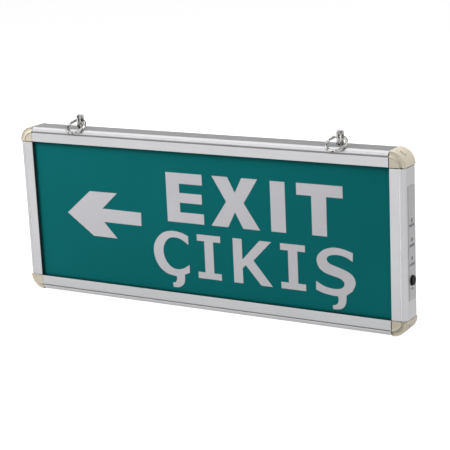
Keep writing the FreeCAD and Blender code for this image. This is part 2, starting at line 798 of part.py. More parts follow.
def test_switch():
    """Switch body on the board with a blind bore for the button's stem."""
    face = HALF_W + SWITCH_FACE_U
    half = SWITCH_H / 2
    body = block(face - SWITCH_L, face, SHEETS_V + SWITCH_AIR, BOARD_V,
                 BUTTON_Z - half, BUTTON_Z + half)
    stem_end = HALF_W + BUTTON_STEM_IN_U
    deep = 2 * BUTTON_TRAVEL
    return body.cut(rod(BUTTON_STEM_R + STEM_FIT, face - stem_end + deep,
                        stem_end - deep, MID_V, BUTTON_Z, X))


def test_button():
    """Cap, retaining flange and stem turned as one piece."""
    top = HALF_W + MARGIN + LABEL_T + BUTTON_PROUD
    flange = HALF_W + WALL_U - BUTTON_FLANGE_T
    stem = HALF_W + BUTTON_STEM_IN_U
    cap = rod(BUTTON_R, top - flange, flange, MID_V, BUTTON_Z, X)
    rim = [e for e in cap.Edges if e.BoundBox.XMin > top - 0.01]
    cap = cap.makeFillet(BUTTON_ROUND, rim)
    dish = Part.makeSphere(BUTTON_DISH_R,
                           vec(top + BUTTON_DISH_R - BUTTON_DISH_DEEP, 0,
                               MID_Z + BUTTON_Z))
    ring = rod(BUTTON_FLANGE_R, BUTTON_FLANGE_T, flange, MID_V, BUTTON_Z, X)
    pin = rod(BUTTON_STEM_R, flange - stem, stem, MID_V, BUTTON_Z, X)
    return cap.cut(dish).fuse([ring, pin]).removeSplitter()


def side_label():
    """Foil label with a window for each lamp and for the button."""
    x = HALF_W + MARGIN
    half = LABEL_L / 2
    foil = block(x, x + LABEL_T, MID_V - LABEL_W / 2, MID_V + LABEL_W / 2,
                 LABEL_Z - half, LABEL_Z + half)
    foil = foil.makeFillet(0.8, [e for e in foil.Edges
                                 if e.BoundBox.XLength > LABEL_T / 2])
    holes = [rod(LAMP_R + LAMP_HOLE_FIT, LABEL_T, x, MID_V, z, X)
             for z in LAMP_Z]
    holes.append(rod(BUTTON_R + BUTTON_FIT, LABEL_T, x, MID_V, BUTTON_Z, X))
    return foil.cut(Part.makeCompound(holes))


def cable_grommet():
    """Rubber grommet: outer flange, neck in the wall and inner lip."""
    wall = HALF_W + MARGIN
    steps = ((INLET_FLANGE_R, -wall - INLET_FLANGE_T, INLET_FLANGE_T),
             (INLET_NECK_R, -wall, OUTER_T),
             (INLET_LIP_R, -wall + OUTER_T, INLET_LIP_T))
    rings = [rod(radius, length, start, INLET_V, INLET_Z, X)
             for radius, start, length in steps]
    rings[0] = rings[0].makeFillet(0.7, [e for e in rings[0].Edges
                                         if e.BoundBox.XMax < -wall - 1])
    body = rings[0].fuse(rings[1:]).removeSplitter()
    length = INLET_FLANGE_T + OUTER_T + INLET_LIP_T
    return body.cut(rod(INLET_BORE_R, length, -wall - INLET_FLANGE_T,
                        INLET_V, INLET_Z, X))


def hanger(x):
    """Pressed foot under the rail's wall with two ears through the slot."""
    foot_z = HALF_H + WALL_U - FOOT_T
    foot = block(x - FOOT_L / 2, x + FOOT_L / 2, MID_V - FOOT_W / 2,
                 MID_V + FOOT_W / 2, foot_z, foot_z + FOOT_T)
    ears = []
    for side in (-1, 1):
        a = x + side * (EAR_GAP / 2 + EAR_T / 2)
        ear = block(a - EAR_T / 2, a + EAR_T / 2, MID_V - EAR_W / 2,
                    MID_V + EAR_W / 2, foot_z, HALF_H + MARGIN + EAR_H)
        tops = [e for e in ear.Edges if e.BoundBox.XLength > EAR_T / 2
                and e.BoundBox.ZMin > FACE_Z + EAR_H - 0.01]
        ears.append(ear.makeFillet(1.2, tops))
    body = foot.fuse(ears)
    eye = rod(EYE_R, 2 * EAR_T + EAR_GAP, x - EAR_GAP / 2 - EAR_T, MID_V,
              HALF_H + MARGIN + EYE_H, X)
    holes = [rod(HANGER_SCREW_R + SCREW_FIT, FOOT_T, x + s * HANGER_SCREW_X,
                 MID_V, foot_z, Z) for s in (-1, 1)]
    return body.cut(Part.makeCompound([eye] + holes)).removeSplitter()


def hanger_left():
    return hanger(-HANGER_X)


def hanger_right():
    return hanger(HANGER_X)


def hanger_screws():
    """Four short screws up through the feet into the rail's wall."""
    under = HALF_H + WALL_U - FOOT_T
    screws = []
    for x in hanger_places():
        for side in (-1, 1):
            sx = x + side * HANGER_SCREW_X
            head = rod(HANGER_HEAD_R, HANGER_HEAD_T, sx, MID_V,
                       under - HANGER_HEAD_T, Z)
            slot = block(sx - 0.25, sx + 0.25, MID_V - 3, MID_V + 3,
                         under - HANGER_HEAD_T, under - HANGER_HEAD_T + 0.4)
            shank = rod(HANGER_SCREW_R, FOOT_T + OUTER_T - 0.2, sx, MID_V,
                        under, Z)
            screws.append(head.cut(slot).fuse(shank).removeSplitter())
    return Part.makeCompound(screws)


def ring_lean():
    """Degrees from hanging straight down, resting on the front shoulder."""
    forward = MID_V - SHOULDER_V
    down = EYE_H + SHOULDER_R
    reach = math.hypot(forward, down)
    clear = SHOULDER_R + RING_WIRE_R + RING_REST
    return math.degrees(math.atan2(forward, down) + math.asin(clear / reach))


def ring(x):
    """Bent wire ring through the eyes, fallen forward onto the shoulder."""
    start = vec(RING_R, 0, 0)
    disc = Part.Face(Part.Wire(Part.makeCircle(RING_WIRE_R, start, Y)))
    loop = disc.revolve(vec(0, 0, 0), Z, 360 - RING_GAP_DEG)
    loop.rotate(vec(0, 0, 0), Z, RING_GAP_AT)
    loop.translate(vec(0, -RING_R, 0))
    loop.rotate(vec(0, 0, 0), X, 90 - ring_lean())
    loop.translate(vec(x, 0, WIRE_Z))
    return loop


def ring_left():
    return ring(-HANGER_X)


def ring_right():
    return ring(HANGER_X)


PIECES = (top_rail, bottom_rail, left_rail, right_rail,
          corner_top_left, corner_top_right,
          corner_bottom_left, corner_bottom_right,
          front_gasket, front_panel, light_guide, reflector_sheet, rear_panel,
          led_strip, strip_tape, strip_leds, strip_leads,
          driver_board, board_screws, transformer_core, transformer_coil,
          film_capacitor, electrolytic_capacitors, rectifier_diodes,
          control_chip, terminal_block, terminal_screws,
          battery_cells, cell_links, battery_tray, battery_leads,
          indicator_leds, test_switch, test_button, side_label,
          cable_grommet, hanger_left, hanger_right, hanger_screws,
          ring_left, ring_right)

os.makedirs("parts", exist_ok=True)
for piece in PIECES:
    shape = piece()
    shape.exportStep("parts/" + piece.__name__ + ".step")
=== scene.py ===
import bmesh
import bpy
import math
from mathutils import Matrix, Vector


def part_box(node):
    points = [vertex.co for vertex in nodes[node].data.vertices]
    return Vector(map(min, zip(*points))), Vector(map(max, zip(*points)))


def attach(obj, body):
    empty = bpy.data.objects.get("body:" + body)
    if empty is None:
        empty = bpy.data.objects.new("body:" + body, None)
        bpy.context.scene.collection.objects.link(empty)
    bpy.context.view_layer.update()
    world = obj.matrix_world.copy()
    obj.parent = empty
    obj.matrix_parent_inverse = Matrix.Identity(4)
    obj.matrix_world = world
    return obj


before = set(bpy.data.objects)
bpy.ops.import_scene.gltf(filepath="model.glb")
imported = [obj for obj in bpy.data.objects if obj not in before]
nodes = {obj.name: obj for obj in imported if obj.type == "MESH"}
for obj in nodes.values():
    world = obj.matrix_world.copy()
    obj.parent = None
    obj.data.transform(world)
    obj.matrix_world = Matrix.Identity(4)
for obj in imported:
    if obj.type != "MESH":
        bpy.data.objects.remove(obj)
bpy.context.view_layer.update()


# ---- aluminium rails -----------------------------------------------------
# Four lengths of one extruded aluminium section, satin anodised, sawn square.
# The die leaves fine lines along each length.  The moulded corners hold the
# rails together by tongues in their hollow chamber.
# The long rails have shade painted into their grooves, the short rails light.
ALUMINIUM = (0.56, 0.56, 0.57)
DIE_LINES = 900.0            # lines per metre across the section
LINE_DRAW = 0.012            # noise scale along a line, against across it
LINE_SHARE = 0.6             # the lines' part in the tone; clouds have the rest
LONG_GROOVE_PAINTED_SHADE = 0.45      # painted shade in the grooves of the long rails
SHORT_GROOVE_PAINTED_LIGHT = 1.6      # painted light in the grooves of the short rails
GROOVE_REACH = 0.0015        # how near a wall shelters a surface
SHELTERED, OPEN = 0.5, 0.92  # share of the sky seen in a groove, on a face
RELIEF_STRENGTH = 0.6
ALONG_X, ALONG_Z = 0, 2      # axes that the rails run along


def new_material(name):
    """Node material; returns it with its node tree and its shader."""
    material = bpy.data.materials.new(name)
    material.use_nodes = True
    tree = material.node_tree
    return material, tree, tree.nodes["Principled BSDF"]


def link(tree, source, target):
    tree.links.new(source, target)


def calc(tree, operation, *values):
    """Math node on plain numbers and other nodes' outputs."""
    node = tree.nodes.new("ShaderNodeMath")
    node.operation = operation
    for socket, value in zip(node.inputs, values):
        if isinstance(value, bpy.types.NodeSocket):
            link(tree, value, socket)
        else:
            socket.default_value = value
    return node.outputs["Value"]


def noise(tree, per_metre, detail=4.0, stretch=(1, 1, 1), rough=0.55):
    """Noise in the object's own coordinates, drawn out by stretch."""
    place = tree.nodes.new("ShaderNodeTexCoord")
    mapping = tree.nodes.new("ShaderNodeMapping")
    mapping.inputs["Scale"].default_value = stretch
    texture = tree.nodes.new("ShaderNodeTexNoise")
    texture.inputs["Scale"].default_value = per_metre
    texture.inputs["Detail"].default_value = detail
    texture.inputs["Roughness"].default_value = rough
    link(tree, place.outputs["Object"], mapping.inputs["Vector"])
    link(tree, mapping.outputs["Vector"], texture.inputs["Vector"])
    return texture.outputs["Fac"]


def spread(tree, value, low, high, from_low=0.3, from_high=0.7):
    """Map noise's usual range, or the range given, to low..high."""
    ramp = tree.nodes.new("ShaderNodeMapRange")
    ramp.inputs["From Min"].default_value = from_low
    ramp.inputs["From Max"].default_value = from_high
    ramp.inputs["To Min"].default_value = low
    ramp.inputs["To Max"].default_value = high
    link(tree, value, ramp.inputs["Value"])
    return ramp.outputs["Result"]


def shade(colour, factor):
    return tuple(c * factor for c in colour)


def tones(tree, value, dark, light, from_low=0.3, from_high=0.7):
    """Colour that goes from dark to light with a value."""
    mix = tree.nodes.new("ShaderNodeMix")
    mix.data_type = "RGBA"
    mix.inputs["A"].default_value = (*dark, 1)
    mix.inputs["B"].default_value = (*light, 1)
    link(tree, spread(tree, value, 0, 1, from_low, from_high),
         mix.inputs["Factor"])
    return mix.outputs["Result"]


def paint_hollow_light_and_shade(tree, colour, reach, tone, alone=True):
    """Painted shade in hollows for a tone below 1, painted light for one above
    1; alone leaves the other pieces out.
    """
    # painted shade or light: the colour follows how much sky the surface sees
    sky = tree.nodes.new("ShaderNodeAmbientOcclusion")
    sky.samples = 8
    sky.only_local = alone
    sky.inputs["Distance"].default_value = reach
    mix = tree.nodes.new("ShaderNodeMix")
    mix.data_type = "RGBA"
    mix.blend_type = "MULTIPLY"
    mix.inputs["Factor"].default_value = 1.0
    link(tree, colour, mix.inputs["A"])
    link(tree, spread(tree, sky.outputs["AO"], tone, 1.0, SHELTERED, OPEN),
         mix.inputs["B"])
    return mix.outputs["Result"]


def finish(tree, shader, colour, rough):
    """Give the shader its colour and roughness."""
    link(tree, colour, shader.inputs["Base Color"])
    link(tree, rough, shader.inputs["Roughness"])


def relief(tree, shader, height, depth, edge=0.0):
    """Bump from a height, over edges rounded by the given radius."""
    bump = tree.nodes.new("ShaderNodeBump")
    bump.inputs["Strength"].default_value = RELIEF_STRENGTH
    bump.inputs["Distance"].default_value = depth
    link(tree, height, bump.inputs["Height"])
    if edge:
        bevel = tree.nodes.new("ShaderNodeBevel")
        bevel.samples = 6
        bevel.inputs["Radius"].default_value = edge
        link(tree, bevel.outputs["Normal"], bump.inputs["Normal"])
    link(tree, bump.outputs["Normal"], shader.inputs["Normal"])


def aluminium(name, along, painted_groove_tone):
    """Satin aluminium with die lines along one axis; its grooves get painted
    shade or painted light from the given tone.
    """
    material, tree, shader = new_material(name)
    stretch = [1.0, 1.0, 1.0]
    stretch[along] = LINE_DRAW
    lines = noise(tree, DIE_LINES, detail=3.0, stretch=stretch, rough=0.7)
    cloud = noise(tree, per_metre=28.0, detail=3.0)
    both = calc(tree, "MULTIPLY_ADD", lines, LINE_SHARE,
                calc(tree, "MULTIPLY", cloud, 1 - LINE_SHARE))
    skin = tones(tree, both, shade(ALUMINIUM, 0.92), shade(ALUMINIUM, 1.06))
    # painted shade or painted light in the grooves, as the tone gives
    finish(tree, shader, paint_hollow_light_and_shade(tree, skin, GROOVE_REACH, painted_groove_tone),
           spread(tree, lines, 0.34, 0.46))
    shader.inputs["Metallic"].default_value = 0.93
    relief(tree, shader, lines, depth=0.00003, edge=0.00018)
    return material


def dress(material, *names):
    """Give nodes of the frame a material."""
    for name in names:
        mesh = nodes[name].data
        mesh.materials.clear()
        mesh.materials.append(material)


# long rails: painted shade in the grooves; short rails: painted light in them
dress(aluminium("satin_aluminium_long_painted_groove_shade", ALONG_X, LONG_GROOVE_PAINTED_SHADE),
      "top_rail", "bottom_rail")
dress(aluminium("satin_aluminium_short_painted_groove_light", ALONG_Z, SHORT_GROOVE_PAINTED_LIGHT),
      "left_rail", "right_rail")


# ---- moulded corners -----------------------------------------------------
# Four corner mouldings in cream ABS that carry the rail's section round a
# quarter turn.  Each is pushed into two rails on its tongues, with a fine
# spark-eroded grain and two ejector dimples and a slot on the outer face.
CREAM = (0.66, 0.60, 0.475)
ERODED_PITS = 5200.0         # per metre
ROUGH_DRIFT = 0.06           # how far roughness goes either way over a moulding


def moulding(name, colour, rough=0.42, grain=0.00002, fleck=0.05,
             painted_hollow_shade=0.8, gloss=0.5):
    """Moulded plastic or rubber: slight tone drift, a fine eroded grain and
    painted shade in its hollows.
    """
    material, tree, shader = new_material(name)
    drift = noise(tree, per_metre=60.0, detail=3.0)
    pits = noise(tree, ERODED_PITS, detail=2.0)
    body = tones(tree, drift, shade(colour, 1 - fleck), shade(colour, 1 + fleck))
    # painted shade in the moulding's hollows
    finish(tree, shader, paint_hollow_light_and_shade(tree, body, GROOVE_REACH, painted_hollow_shade),
           spread(tree, pits, rough - ROUGH_DRIFT, rough + ROUGH_DRIFT))
    shader.inputs["Specular IOR Level"].default_value = gloss
    relief(tree, shader, pits, grain, edge=0.0002)
    return material


# strong painted shade in the corners' channels, dimples and slot
dress(moulding("cream_moulding", CREAM, painted_hollow_shade=0.35),
      "corner_top_left", "corner_top_right",
      "corner_bottom_left", "corner_bottom_right")


# ---- front gasket --------------------------------------------------------
# Black foam rubber frame, die-cut from sheet, squeezed between the rails'
# front flanges and the legend panel so that no light leaks round the edge.
RUBBER = (0.016, 0.017, 0.018)
# Its black is the rubber's own and also painted shade for the dark recess round
# the panel's edge.
dress(moulding("black_rubber_and_painted_recess_shade", RUBBER, rough=0.8, grain=0.00005, fleck=0.2),
      "front_gasket")


# ---- legend panel --------------------------------------------------------
# Clear acrylic sheet printed green on its front, held between the gasket and
# the light guide.  The ink is even, with a slight orange peel in its gloss, and
# shade from the frame is painted along its edges.
GREEN = (0.003, 0.142, 0.147)
PAINTED_EDGE_SHADE_REACH = 0.003           # how far in from the frame the panel's painted shade reaches


def panel_green():
    material, tree, shader = new_material("green_panel")
    cloud = noise(tree, per_metre=9.0)
    peel = noise(tree, per_metre=420.0, detail=2.0)
    coat = tones(tree, cloud, shade(GREEN, 0.94), shade(GREEN, 1.06))
    # painted shade from the frame along the panel's edges
    finish(tree, shader,
           paint_hollow_light_and_shade(tree, coat, PAINTED_EDGE_SHADE_REACH, tone=0.45, alone=False),
           spread(tree, peel, 0.38, 0.46))
    shader.inputs["Specular IOR Level"].default_value = 0.04
    relief(tree, shader, peel, depth=0.00001)
    return material


dress(panel_green(), "front_panel")


# ---- arrow and words -----------------------------------------------------
# Opaque pale ink screened onto the panel's front: a way-out arrow and the
# plain word for the way out in two languages, in a heavy sans letter above
# a lighter one with slab bars.  The film of ink is a tenth of a mm thick.
PALE_INK = (0.59, 0.58, 0.61)
MM = 0.001
INK_PROUD = 0.06 * MM        # ink in front of the panel's face
INK_SINK = 0.04 * MM         # ink keyed into the face
PANEL_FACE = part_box("front_panel")[0].y
MIDDLE_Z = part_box("top_rail")[1].z / 2   # half the height of the frame
LEGEND_Z = MIDDLE_Z + 0.3 * MM           # line that the legend is set from
CAP_TOP = 41.0                           # upper word, mm from that line
WORD_TOP, WORD_BASE = -8.5, -45.2        # lower word, mm from that line
STEM = 8.3                               # its upright strokes
BAR = 5.3                                # its slab bars


def pale_ink():
    material, tree, shader = new_material("pale_ink")
    cloud = noise(tree, per_metre=25.0)
    grain = noise(tree, per_metre=1500.0, detail=2.0)
    finish(tree, shader,
           tones(tree, cloud, shade(PALE_INK, 0.96), shade(PALE_INK, 1.03)),
           spread(tree, grain, 0.45, 0.58))
    relief(tree, shader, grain, depth=0.00001)
    return material


def film_of_ink(name, outlines, through, material):
    """Piece of dried ink from closed outlines, thickened by a vector."""
    mesh = bpy.data.meshes.new(name)
    bm = bmesh.new()
    for outline in outlines:
        face = bm.faces.new([bm.verts.new(point) for point in outline])
        grown = bmesh.ops.extrude_face_region(bm, geom=[face])
        for item in grown["geom"]:
            if isinstance(item, bmesh.types.BMVert):
                item.co += Vector(through)
    bmesh.ops.recalc_face_normals(bm, faces=bm.faces)
    bmesh.ops.triangulate(bm, faces=[f for f in bm.faces if len(f.verts) > 4])
    bm.to_mesh(mesh)
    bm.free()
    mesh.materials.append(material)
    piece = bpy.data.objects.new(name, mesh)
    bpy.context.scene.collection.objects.link(piece)
    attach(piece, "sign")


ink = pale_ink()


def legend(name, outline):
    """Arrow or letter on the panel, from an outline in mm."""
    film_of_ink(name, [[(x * MM, PANEL_FACE - INK_PROUD, LEGEND_Z + z * MM)
                        for x, z in outline]],
                (0, INK_PROUD + INK_SINK, 0), ink)


legend("ink_arrow", [(-134.5, -1.2), (-110.2, 19.1), (-82.6, 19.3),
                     (-98.2, 5.0), (-59.5, 4.7), (-59.8, -6.6),
                     (-97.4, -6.4), (-84.8, -19.6), (-108.9, -19.4)])

legend("ink_upper_e", [(-33.4, 0), (1.3, 0), (1.3, 8.5), (-21.0, 8.5),
                       (-21.0, 16.5), (0.0, 16.5), (0.0, 24.6),
                       (-21.0, 24.6), (-21.0, 32.2), (0.8, 32.2),
                       (0.8, CAP_TOP), (-33.4, CAP_TOP)])
legend("ink_upper_x", [(8.1, 0), (23.6, 0), (30.4, 12.8), (37.4, 0),
                       (52.6, 0), (38.6, 20.8), (51.7, CAP_TOP),
                       (37.4, CAP_TOP), (30.9, 28.6), (24.4, CAP_TOP),
                       (10.1, CAP_TOP), (22.6, 20.8)])
legend("ink_upper_i", [(62.7, 0.2), (75.7, 0.2), (75.7, 40.7), (62.7, 40.7)])
legend("ink_upper_t", [(98.5, 0.6), (111.2, 0.6), (111.2, 31.6),
                       (125.2, 31.6), (125.2, CAP_TOP), (85.7, CAP_TOP),
                       (85.7, 31.6), (98.5, 31.6)])


def flow(points, steps=6):
    """Smooth line through a few points of a letter's edge."""
    line = [points[0]]
    for i in range(len(points) - 1):
        before = points[max(i - 1, 0)]
        here, there = points[i], points[i + 1]
        after = points[min(i + 2, len(points) - 1)]
        for k in range(1, steps + 1):
            t = k / steps
            line.append(tuple(
                0.5 * (2 * b + (c - a) * t
                       + (2 * a - 5 * b + 4 * c - d) * t ** 2
                       + (3 * b - a - 3 * c + d) * t ** 3)
                for a, b, c, d in zip(before, here, there, after)))
    return line


def slab_i(x0, x1):
    """Lower word's I: an upright with a slab bar at its head and foot."""
    left, right = (x0 + x1 - STEM) / 2, (x0 + x1 + STEM) / 2
    foot, head = WORD_BASE + BAR, WORD_TOP - BAR
    return [(x0, WORD_BASE), (x1, WORD_BASE), (x1, foot), (right, foot),
            (right, head), (x1, head), (x1, WORD_TOP), (x0, WORD_TOP),
            (x0, head), (left, head), (left, foot), (x0, foot)]


legend("ink_lower_c",
       flow([(-14.7, -11.1), (-21.5, -8.7), (-30.2, -7.9), (-38.0, -9.7),
             (-44.2, -14.5), (-48.0, -20.8), (-48.8, -27.4), (-47.0, -34.8),
             (-42.8, -40.7), (-36.2, -44.7), (-27.6, -46.2)])
       + flow([(-27.5, -48.6), (-28.9, -51.1), (-31.8, -52.0)])
       + flow([(-31.2, -55.6), (-26.4, -55.4), (-22.0, -53.1), (-20.1, -49.4),
               (-19.8, -44.0)])
       + [(-14.9, -41.9)]
       + flow([(-14.8, -35.2), (-20.4, -38.7), (-26.8, -40.1), (-32.6, -38.5),
               (-36.9, -34.2), (-39.1, -28.6), (-39.1, -22.8), (-36.7, -17.5),
               (-32.6, -14.1), (-27.4, -13.2), (-21.3, -14.4),
               (-14.9, -18.3)]))
legend("ink_lower_first_i", slab_i(-6.5, 15.4))
legend("ink_lower_k", [
    (27.0, WORD_BASE), (35.3, WORD_BASE), (35.3, -32.6), (38.2, -29.7),
    (51.9, WORD_BASE), (62.2, WORD_BASE), (45.4, -25.3), (62.0, WORD_TOP),
    (51.4, WORD_TOP), (35.3, -25.5), (35.3, WORD_TOP), (27.0, WORD_TOP)])
legend("ink_lower_second_i", slab_i(69.9, 91.7))
legend("ink_lower_s",
       flow([(132.6, -10.4), (125.2, -8.3), (115.8, -7.6), (106.8, -10.8),
             (101.8, -16.8), (103.0, -23.9), (108.0, -28.1), (114.6, -30.0),
             (121.2, -31.7), (124.9, -34.8), (123.2, -38.9), (117.4, -40.5),
             (108.6, -39.5), (100.6, -35.8)])
       + flow([(100.5, -42.7), (106.6, -44.8), (114.5, -46.0),
               (119.4, -46.1)])
       + flow([(119.7, -49.4), (118.2, -52.6), (114.4, -54.0)])
       + flow([(114.9, -56.9), (120.2, -56.6), (123.9, -54.6),
               (126.0, -50.6), (126.4, -44.8)])
       + flow([(131.6, -41.0), (134.4, -34.6), (132.6, -28.9),
               (127.2, -25.3), (119.7, -22.9), (112.9, -20.7),
               (110.2, -17.4), (112.6, -14.4), (118.8, -13.1),
               (126.0, -14.1), (132.3, -17.3)]))


# ---- light guide and strip -----------------------------------------------
# Clear acrylic guide lit from its top edge, a white polyester reflector
# behind it, and a strip of small lights held in the top channel by tape.
def clear_acrylic():
    material, tree, shader = new_material("guide_acrylic")
    tint = noise(tree, per_metre=40.0)
    dots = noise(tree, per_metre=700.0, detail=1.0)
    finish(tree, shader,
           tones(tree, tint, (0.90, 0.95, 0.93), (0.95, 0.98, 0.97)),
           spread(tree, dots, 0.05, 0.2))
    shader.inputs["Transmission Weight"].default_value = 0.9
    shader.inputs["IOR"].default_value = 1.49
    return material


dress(clear_acrylic(), "light_guide")
dress(moulding("white_film", (0.8, 0.8, 0.79), rough=0.5), "reflector_sheet")
dress(moulding("strip_laminate", (0.75, 0.75, 0.72), rough=0.5), "led_strip")
dress(moulding("foam_tape", (0.55, 0.55, 0.52), rough=0.9, grain=0.0001),
      "strip_tape")
dress(moulding("light_housings", (0.8, 0.78, 0.6), rough=0.35), "strip_leds")


# ---- rear panel ----------------------------------------------------------
# Plain white polystyrene sheet in the rear channel, with a moulded boss for
# each screw of the driver board on its inner face.
dress(moulding("white_back_sheet", (0.72, 0.72, 0.70), rough=0.5,
               grain=0.00003, fleck=0.02), "rear_panel")


# ---- driver board --------------------------------------------------------
# Glass-epoxy board on four screws with the charger's parts soldered to it:
# transformer, capacitors, diodes, chip and the mains terminal block.
def laminate():
    material, tree, shader = new_material("board_laminate")
    weave = noise(tree, per_metre=900.0, detail=2.0, stretch=(1, 1, 0.2))
    finish(tree, shader,
           tones(tree, weave, (0.010, 0.075, 0.030), (0.016, 0.105, 0.042)),
           spread(tree, weave, 0.3, 0.42))
    relief(tree, shader, weave, depth=0.00002)
    return material


def plated(name, colour, rough):
    """Plated metal with faint rubbing marks."""
    material, tree, shader = new_material(name)
    rub = noise(tree, per_metre=260.0, detail=5.0, rough=0.65)
    finish(tree, shader,
           tones(tree, rub, shade(colour, 0.9), shade(colour, 1.05)),
           spread(tree, rub, rough * 0.8, rough * 1.3))
    shader.inputs["Metallic"].default_value = 1.0
    relief(tree, shader, rub, depth=0.000004)
    return material


dress(laminate(), "driver_board")
dress(moulding("ferrite", (0.06, 0.058, 0.06), rough=0.55), "transformer_core")
dress(moulding("winding_tape", (0.75, 0.55, 0.08), rough=0.4),
      "transformer_coil")
dress(moulding("film_capacitor_case", (0.02, 0.03, 0.25)), "film_capacitor")
dress(moulding("capacitor_sleeve", (0.02, 0.02, 0.03), rough=0.3),
      "electrolytic_capacitors")
dress(moulding("epoxy_black", (0.018, 0.018, 0.02)),
      "rectifier_diodes", "control_chip")
dress(moulding("terminal_nylon", (0.05, 0.2, 0.09), rough=0.5),
      "terminal_block")
dress(plated("zinc_plate", (0.62, 0.62, 0.60), rough=0.3),
      "board_screws", "terminal_screws")


# ---- battery -------------------------------------------------------------
# Three sleeved cells in a moulded tray, joined by spot-welded nickel tabs,
# with a lead from each end of the pack to the board.
dress(moulding("cell_sleeve", (0.03, 0.12, 0.3), rough=0.35), "battery_cells")
dress(plated("nickel_tab", (0.6, 0.58, 0.54), rough=0.35), "cell_links")
dress(moulding("tray_plastic", (0.6, 0.6, 0.58), rough=0.5), "battery_tray")
dress(moulding("lead_insulation", (0.5, 0.02, 0.02), rough=0.45),
      "battery_leads", "strip_leads")


# ---- side label ----------------------------------------------------------
# Brushed foil label stuck on the right-hand rail, with a window for each lamp
# and for the button.  Short grey bars are printed under each for a caption.
LABEL_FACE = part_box("side_label")[1].x
PRINT_PROUD = 0.02 * MM
PRINT_SINK = 0.02 * MM
CAPTION_BARS = ((14.2, 2.0, -4.4, -1.8), (14.2, 2.0, -1.2, 0.9),
                (14.2, 2.0, 1.5, 4.3), (-1.3, 2.0, -4.4, -0.6),
                (-1.3, 2.0, 0.0, 4.2), (-16.0, 2.0, -4.2, -2.4),
                (-16.0, 2.0, -1.8, 1.2), (-16.0, 2.0, 1.8, 4.4),
                (-34.9, 1.4, -1.6, 1.6))     # mm: height, thickness, start, end


def brushed_foil():
    material, tree, shader = new_material("brushed_foil")
    lines = noise(tree, per_metre=1800.0, detail=2.0, stretch=(1, 1, 0.02),
                  rough=0.6)
    finish(tree, shader,
           tones(tree, lines, (0.41, 0.41, 0.42), (0.48, 0.48, 0.49)),
           spread(tree, lines, 0.38, 0.5))
    shader.inputs["Metallic"].default_value = 0.7
    relief(tree, shader, lines, depth=0.00001)
    return material


def caption_bar(height, thick, start, end):
    """Corners of one printed bar on the label."""
    low, high = height - thick / 2, height + thick / 2
    return [(LABEL_FACE + PRINT_PROUD, y * MM, MIDDLE_Z + z * MM)
            for y, z in ((start, low), (end, low), (end, high), (start, high))]


dress(brushed_foil(), "side_label")
film_of_ink("label_captions", [caption_bar(*bar) for bar in CAPTION_BARS],
            (-PRINT_PROUD - PRINT_SINK, 0, 0),
            moulding("grey_print", (0.13, 0.13, 0.14), rough=0.6))


# ---- lamps and test button -----------------------------------------------
# Three round indicator lamps show through the label, and a black moulded
# button with a dished top slides in the rail's wall onto the switch.
def lamp_resin():
    material, tree, shader = new_material("lamp_resin")
    milk = noise(tree, per_metre=300.0)
    haze = noise(tree, per_metre=900.0)
    finish(tree, shader,
           tones(tree, milk, (0.20, 0.20, 0.20), (0.26, 0.26, 0.26)),
           spread(tree, haze, 0.12, 0.22))
    shader.inputs["Coat Weight"].default_value = 0.5
    return material


dress(lamp_resin(), "indicator_leds")
dress(moulding("switch_black", (0.02, 0.02, 0.02)), "test_switch")
dress(moulding("button_black", (0.004, 0.004, 0.004), rough=0.5, gloss=0.12),
      "test_button")


# ---- cable grommet -------------------------------------------------------
# Soft black rubber grommet snapped into the left-hand rail's wall, where the
# mains cable goes in.
dress(moulding("grommet_rubber", RUBBER, rough=0.75), "cable_grommet")


# ---- hangers and rings ---------------------------------------------------
# Pressed steel hangers screwed under the top rail's wall, their ears through
# a slot, each with a bent wire ring.  All of it is bright nickel plate, with
# dark reflections painted on in streaks.
def bright_nickel():
    """Polished plate with dark reflections painted on in streaks."""
    material, tree, shader = new_material("bright_nickel")
    painted_reflection_streaks = noise(tree, per_metre=330.0, detail=3.0, rough=0.6)
    # the dark streaks are painted reflections
    finish(tree, shader,
           tones(tree, painted_reflection_streaks, (0.13, 0.125, 0.12), (0.66, 0.65, 0.63),
                 from_low=0.38, from_high=0.60),
           spread(tree, painted_reflection_streaks, 0.12, 0.24))
    shader.inputs["Metallic"].default_value = 1.0
    relief(tree, shader, painted_reflection_streaks, depth=0.00001, edge=0.00015)
    return material


dress(bright_nickel(), "hanger_left", "hanger_right", "ring_left",
      "ring_right", "hanger_screws")


# ---- floor ---------------------------------------------------------------
# A pale round studio floor under the sign, which keeps the sign's shadow.
# A glow brings it to white where it is seen directly, and in reflections,
# where what lies behind the sign is weaker than what lies in front: painted
# shade for the sign's shadow, seen only in reflections.
FLOOR_RADIUS = 6.0
FLOOR_SIDES = 48
FLOOR_GLOW = 0.90
FRONT_Y, BACK_Y = -0.6, 0.3          # where the painted shade in reflections starts and ends
# share of the glow in reflections; the lower share behind is painted shade
FRONT_SHARE, BACK_PAINTED_SHADE_SHARE = 1.0, 0.44
WHITE = (1, 1, 1, 1)


